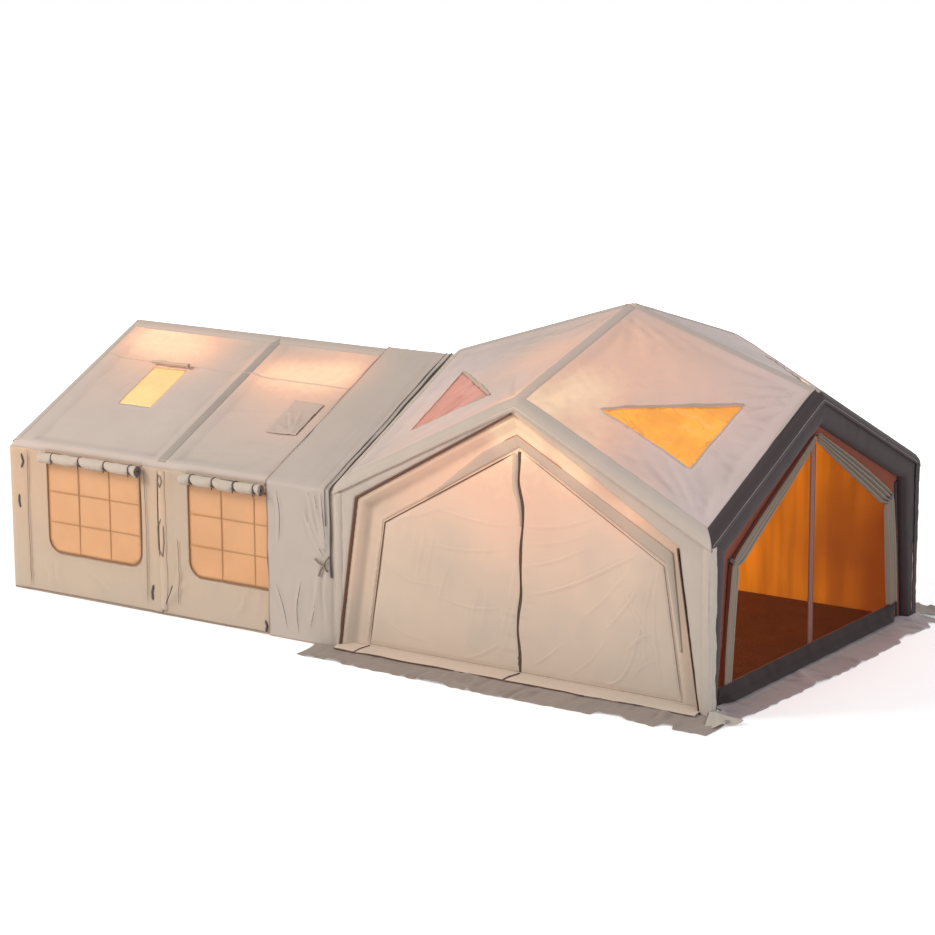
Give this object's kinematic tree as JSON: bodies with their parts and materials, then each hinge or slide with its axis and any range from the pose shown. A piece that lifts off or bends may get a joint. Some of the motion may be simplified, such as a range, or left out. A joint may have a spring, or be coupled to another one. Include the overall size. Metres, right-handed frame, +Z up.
{
  "type": "inflatable tent",
  "caption": "Air-beam family tent: a square gabled hub with a canvas door and a net door, joined by a sleeve to a ridge-roofed annex with windows and skylights.",
  "frame": {"origin": "on the ground, under the middle of the tent's box", "axes": "+Z up; +X along the tent's length, from the annex to the hub's net door; the hub's canvas door faces -Y"},
  "size_m": [7.99, 4.64, 2.9999],
  "materials": {
    "beam_sleeve_canvas": "matt woven sleeve cloth",
    "roof_canvas": "matt coated canvas",
    "wall_canvas": "matt canvas, warm",
    "door_canvas": "matt canvas, warm",
    "dark_canvas": "matt grey canvas",
    "sill_canvas": "matt grey-brown canvas",
    "skirt_canvas": "matt grey cloth",
    "dark_skirt_canvas": "matt grey cloth",
    "insect_net": "fine see-through insect net",
    "window_film": "soft tinted film",
    "amber_film": "soft amber film",
    "groundsheet": "coated floor cloth",
    "tie_webbing": "woven webbing",
    "valve_plastic": "moulded, matt",
    "zip_metal": "die-cast slider"
  },
  "bodies": {
    "tent": {"hub_front_arch": "beam_sleeve_canvas", "hub_back_arch": "beam_sleeve_canvas", "hub_left_rafters": "beam_sleeve_canvas", "hub_ridge_beam": "beam_sleeve_canvas", "hub_front_ridge_beam": "beam_sleeve_canvas", "hub_back_ridge_beam": "beam_sleeve_canvas", "annex_end_arch": "beam_sleeve_canvas", "annex_middle_arch": "beam_sleeve_canvas", "annex_inner_arch": "beam_sleeve_canvas", "annex_outer_ridge_beam": "beam_sleeve_canvas", "annex_inner_ridge_beam": "beam_sleeve_canvas", "connecting_sleeve": "beam_sleeve_canvas", "hub_roof_front_right": "roof_canvas", "hub_roof_front_left": "roof_canvas", "hub_roof_back_right": "roof_canvas", "hub_roof_back_left": "roof_canvas", "annex_roof_front": "roof_canvas", "annex_roof_back": "roof_canvas", "hub_front_wall": "wall_canvas", "hub_left_wall": "wall_canvas", "annex_front_wall": "wall_canvas", "annex_back_wall": "wall_canvas", "annex_end_wall": "wall_canvas", "hub_back_wall": "door_canvas", "hub_right_rafters": "dark_canvas", "curtain_front": "dark_canvas", "curtain_back": "dark_canvas", "hub_right_wall": "sill_canvas", "skirt_front": "skirt_canvas", "skirt_back": "skirt_canvas", "skirt_right": "dark_skirt_canvas", "window_front_outer": "window_film", "window_front_inner": "window_film", "window_back_outer": "window_film", "window_back_inner": "window_film", "hub_skylight_front_right": "amber_film", "hub_skylight_front_left": "amber_film", "hub_skylight_back_right": "amber_film", "hub_skylight_back_left": "amber_film", "annex_skylight_outer": "amber_film", "annex_skylight_inner": "amber_film", "hub_groundsheet": "groundsheet", "annex_groundsheet": "groundsheet", "curtain_tie_front": "tie_webbing", "curtain_tie_back": "tie_webbing"},
    "front_door_left_body": {"front_door_left": "door_canvas"},
    "front_door_right_body": {"front_door_right": "door_canvas"},
    "front_zip_slider_body": {"front_zip_slider": "zip_metal"},
    "mesh_door_front_body": {"mesh_door_front": "insect_net"},
    "mesh_door_back_body": {"mesh_door_back": "insect_net"},
    "mesh_zip_slider_body": {"mesh_zip_slider": "zip_metal"},
    "window_cover_front_outer_body": {"window_cover_front_outer": "wall_canvas"},
    "window_cover_front_inner_body": {"window_cover_front_inner": "wall_canvas"},
    "window_cover_back_outer_body": {"window_cover_back_outer": "wall_canvas"},
    "window_cover_back_inner_body": {"window_cover_back_inner": "wall_canvas"},
    "skylight_cover_outer_body": {"skylight_cover_outer": "roof_canvas"},
    "skylight_cover_inner_body": {"skylight_cover_inner": "roof_canvas"},
    "hub_valve_cap_body": {"hub_valve_cap": "valve_plastic"},
    "annex_valve_cap_body": {"annex_valve_cap": "valve_plastic"}
  },
  "joints": [
    {"name": "front_door_right_swing", "type": "hinge", "parent": "tent", "child": "front_door_right_body", "pos_m": [3.3743, -1.802, 0.0706], "axis": [-0.156, 0, 0.9878], "range_deg": [0, 120]},
    {"name": "front_door_left_swing", "type": "hinge", "parent": "tent", "child": "front_door_left_body", "pos_m": [0.1757, -1.802, 0.0706], "axis": [-0.156, 0, -0.9878], "range_deg": [0, 120]},
    {"name": "front_zip_travel", "type": "slide", "parent": "front_door_left_body", "child": "front_zip_slider_body", "axis": [0, 0, 1], "range_m": [0, 1.75]},
    {"name": "mesh_door_front_swing", "type": "hinge", "parent": "tent", "child": "mesh_door_front_body", "pos_m": [3.574, -1.59929, 0.1806], "axis": [0, 0.1721, 0.9851], "range_deg": [0, 90]},
    {"name": "mesh_door_back_swing", "type": "hinge", "parent": "tent", "child": "mesh_door_back_body", "pos_m": [3.574, 1.59929, 0.1806], "axis": [0, 0.1721, -0.9851], "range_deg": [0, 90]},
    {"name": "mesh_zip_travel", "type": "slide", "parent": "mesh_door_front_body", "child": "mesh_zip_slider_body", "axis": [0, 0, 1], "range_m": [0, 1.65]},
    {"name": "window_cover_front_outer_unroll", "type": "slide", "parent": "tent", "child": "window_cover_front_outer_body", "axis": [0, 0, -1], "range_m": [0, 0.86]},
    {"name": "window_cover_front_inner_unroll", "type": "slide", "parent": "tent", "child": "window_cover_front_inner_body", "axis": [0, 0, -1], "range_m": [0, 0.86]},
    {"name": "window_cover_back_outer_unroll", "type": "slide", "parent": "tent", "child": "window_cover_back_outer_body", "axis": [0, 0, -1], "range_m": [0, 0.86]},
    {"name": "window_cover_back_inner_unroll", "type": "slide", "parent": "tent", "child": "window_cover_back_inner_body", "axis": [0, 0, -1], "range_m": [0, 0.86]},
    {"name": "skylight_cover_outer_unroll", "type": "slide", "parent": "tent", "child": "skylight_cover_outer_body", "axis": [0, -0.8992, -0.4375], "range_m": [0, 0.62]},
    {"name": "skylight_cover_inner_lift", "type": "hinge", "parent": "tent", "child": "skylight_cover_inner_body", "pos_m": [-1.38, -0.8, 1.95314], "axis": [-1, 0, 0], "range_deg": [0, 120]},
    {"name": "hub_valve_cap_turn", "type": "hinge", "parent": "tent", "child": "hub_valve_cap_body", "pos_m": [3.575, 1.9, 0.35], "axis": [0, 1, 0], "range_deg": [0, 90]},
    {"name": "annex_valve_cap_turn", "type": "hinge", "parent": "tent", "child": "annex_valve_cap_body", "pos_m": [-2.14, 1.6457, 0.35], "axis": [0, -1, 0], "range_deg": [0, 90]}
  ]
}
